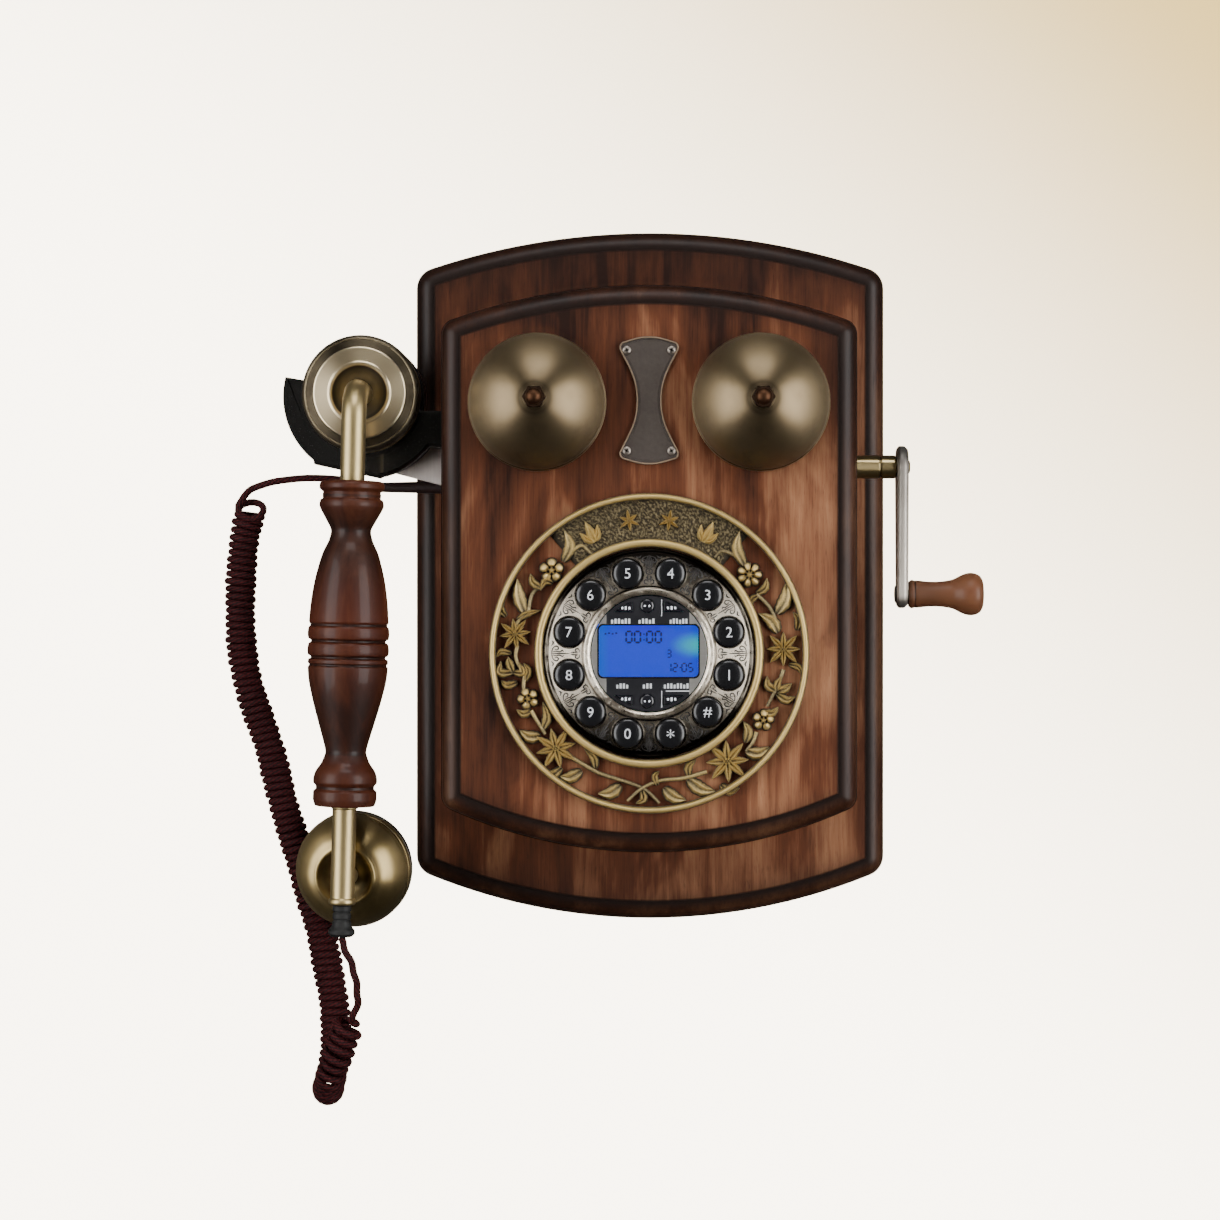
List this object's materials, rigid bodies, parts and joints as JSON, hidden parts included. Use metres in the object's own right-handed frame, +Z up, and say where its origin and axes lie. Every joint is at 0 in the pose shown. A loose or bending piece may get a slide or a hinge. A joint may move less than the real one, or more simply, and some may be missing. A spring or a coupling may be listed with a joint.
{
  "type": "wall crank telephone",
  "caption": "Arched wooden wall telephone with two bells, a round keypad and display, a side crank, and a handset hanging from a sprung fork on a curly cord.",
  "frame": {"origin": "centre of the back board's rear face, on the wall", "axes": "+Y goes into the wall, so the front faces -Y; +Z up; +X to the viewer's right"},
  "size_m": [0.329, 0.1293, 0.3809],
  "materials": {
    "walnut": "satin lacquered walnut",
    "mahogany": "gloss lacquered dark wood",
    "bell_brass": "brushed antique brass",
    "brass": "polished antique brass",
    "gold": "cast antique gold with dark recesses",
    "nickel": "engraved antique nickel",
    "bronze": "dark aged bronze",
    "steel": "satin",
    "copper": "enamelled winding",
    "circuit": "solder mask",
    "black_plastic": "fine moulded",
    "key_black": "gloss with white figures",
    "grille": "fine perforated mesh",
    "rubber": "matt",
    "lcd": "blue backlit display",
    "window_glass": "clear",
    "cord": "braided textile"
  },
  "bodies": {
    "case": {"back_board": "walnut", "case_frame": "walnut", "front_panel": "walnut", "hanger_plate": "steel", "line_jack": "black_plastic", "main_board": "circuit", "bell_left": "bell_brass", "bell_right": "bell_brass", "bell_screw_left": "bell_brass", "bell_screw_right": "bell_brass", "name_plate": "bronze", "dial_surround": "gold", "keypad_plate": "nickel", "display_disc": "nickel", "lcd_window": "window_glass", "lcd_module": "lcd", "keypad_board": "circuit", "hook_bracket": "steel", "hook_switch": "black_plastic", "cord_grommet": "rubber", "cord_lead": "cord", "cord_coil": "cord", "ringer_coil": "copper", "crank_bush": "brass"},
    "striker": {"ringer_clapper": "brass"},
    "crank": {"crank_shaft": "brass", "crank_arm": "steel", "knob_pin": "steel"},
    "knob": {"crank_knob": "mahogany"},
    "cradle": {"cradle_fork": "black_plastic", "cradle_plate": "steel"},
    "handset": {"handset_handle": "mahogany", "upper_tube": "brass", "lower_tube": "brass", "earpiece_shell": "brass", "earpiece_cap": "brass", "receiver_capsule": "black_plastic", "mouthpiece_shell": "brass", "mouthpiece_grille": "grille", "microphone_capsule": "black_plastic", "handset_gland": "rubber", "cord_tail": "cord"},
    "key_1": {"key_1": "key_black"},
    "key_2": {"key_2": "key_black"},
    "key_3": {"key_3": "key_black"},
    "key_4": {"key_4": "key_black"},
    "key_5": {"key_5": "key_black"},
    "key_6": {"key_6": "key_black"},
    "key_7": {"key_7": "key_black"},
    "key_8": {"key_8": "key_black"},
    "key_9": {"key_9": "key_black"},
    "key_0": {"key_0": "key_black"},
    "key_star": {"key_star": "key_black"},
    "key_hash": {"key_hash": "key_black"},
    "button_upper_left": {"button_upper_left": "key_black"},
    "button_upper_middle": {"button_upper_middle": "key_black"},
    "button_upper_right": {"button_upper_right": "key_black"},
    "button_lower_left": {"button_lower_left": "key_black"},
    "button_lower_middle": {"button_lower_middle": "key_black"},
    "button_lower_right": {"button_lower_right": "key_black"}
  },
  "joints": [
    {"name": "crank_turn", "type": "hinge", "parent": "case", "child": "crank", "pos_m": [0.088, -0.065, 0.0458], "axis": [1, 0, 0], "continuous": true},
    {"name": "knob_spin", "type": "hinge", "parent": "crank", "child": "knob", "pos_m": [0.127, -0.065, -0.0087], "axis": [1, 0, 0], "continuous": true},
    {"name": "handset_lift", "type": "slide", "parent": "case", "child": "handset", "axis": [0, 0, 1], "range_m": [0, 0.045]},
    {"name": "cradle_lift", "type": "hinge", "parent": "case", "child": "cradle", "pos_m": [-0.07, -0.053, 0.062], "axis": [0, 1, 0], "range_deg": [0, 5.2]},
    {"name": "striker_rock", "type": "hinge", "parent": "case", "child": "striker", "pos_m": [0, -0.065, 0.044], "axis": [0, 1, 0], "range_deg": [-1.8, 1.8], "stiffness_Nm_per_rad": 0.05},
    {"name": "key_1_press", "type": "slide", "parent": "case", "child": "key_1", "axis": [0, 1, 0], "range_m": [0, 0.0015], "stiffness_N_per_m": 400},
    {"name": "key_2_press", "type": "slide", "parent": "case", "child": "key_2", "axis": [0, 1, 0], "range_m": [0, 0.0015], "stiffness_N_per_m": 400},
    {"name": "key_3_press", "type": "slide", "parent": "case", "child": "key_3", "axis": [0, 1, 0], "range_m": [0, 0.0015], "stiffness_N_per_m": 400},
    {"name": "key_4_press", "type": "slide", "parent": "case", "child": "key_4", "axis": [0, 1, 0], "range_m": [0, 0.0015], "stiffness_N_per_m": 400},
    {"name": "key_5_press", "type": "slide", "parent": "case", "child": "key_5", "axis": [0, 1, 0], "range_m": [0, 0.0015], "stiffness_N_per_m": 400},
    {"name": "key_6_press", "type": "slide", "parent": "case", "child": "key_6", "axis": [0, 1, 0], "range_m": [0, 0.0015], "stiffness_N_per_m": 400},
    {"name": "key_7_press", "type": "slide", "parent": "case", "child": "key_7", "axis": [0, 1, 0], "range_m": [0, 0.0015], "stiffness_N_per_m": 400},
    {"name": "key_8_press", "type": "slide", "parent": "case", "child": "key_8", "axis": [0, 1, 0], "range_m": [0, 0.0015], "stiffness_N_per_m": 400},
    {"name": "key_9_press", "type": "slide", "parent": "case", "child": "key_9", "axis": [0, 1, 0], "range_m": [0, 0.0015], "stiffness_N_per_m": 400},
    {"name": "key_0_press", "type": "slide", "parent": "case", "child": "key_0", "axis": [0, 1, 0], "range_m": [0, 0.0015], "stiffness_N_per_m": 400},
    {"name": "key_star_press", "type": "slide", "parent": "case", "child": "key_star", "axis": [0, 1, 0], "range_m": [0, 0.0015], "stiffness_N_per_m": 400},
    {"name": "key_hash_press", "type": "slide", "parent": "case", "child": "key_hash", "axis": [0, 1, 0], "range_m": [0, 0.0015], "stiffness_N_per_m": 400},
    {"name": "button_upper_left_press", "type": "slide", "parent": "case", "child": "button_upper_left", "axis": [0, 1, 0], "range_m": [0, 0.001], "stiffness_N_per_m": 300},
    {"name": "button_upper_middle_press", "type": "slide", "parent": "case", "child": "button_upper_middle", "axis": [0, 1, 0], "range_m": [0, 0.001], "stiffness_N_per_m": 300},
    {"name": "button_upper_right_press", "type": "slide", "parent": "case", "child": "button_upper_right", "axis": [0, 1, 0], "range_m": [0, 0.001], "stiffness_N_per_m": 300},
    {"name": "button_lower_left_press", "type": "slide", "parent": "case", "child": "button_lower_left", "axis": [0, 1, 0], "range_m": [0, 0.001], "stiffness_N_per_m": 300},
    {"name": "button_lower_middle_press", "type": "slide", "parent": "case", "child": "button_lower_middle", "axis": [0, 1, 0], "range_m": [0, 0.001], "stiffness_N_per_m": 300},
    {"name": "button_lower_right_press", "type": "slide", "parent": "case", "child": "button_lower_right", "axis": [0, 1, 0], "range_m": [0, 0.001], "stiffness_N_per_m": 300}
  ],
  "couplings": [
    {"joint": "cradle_lift", "follows": "handset_lift", "rad_per_m": 1.9393}
  ]
}
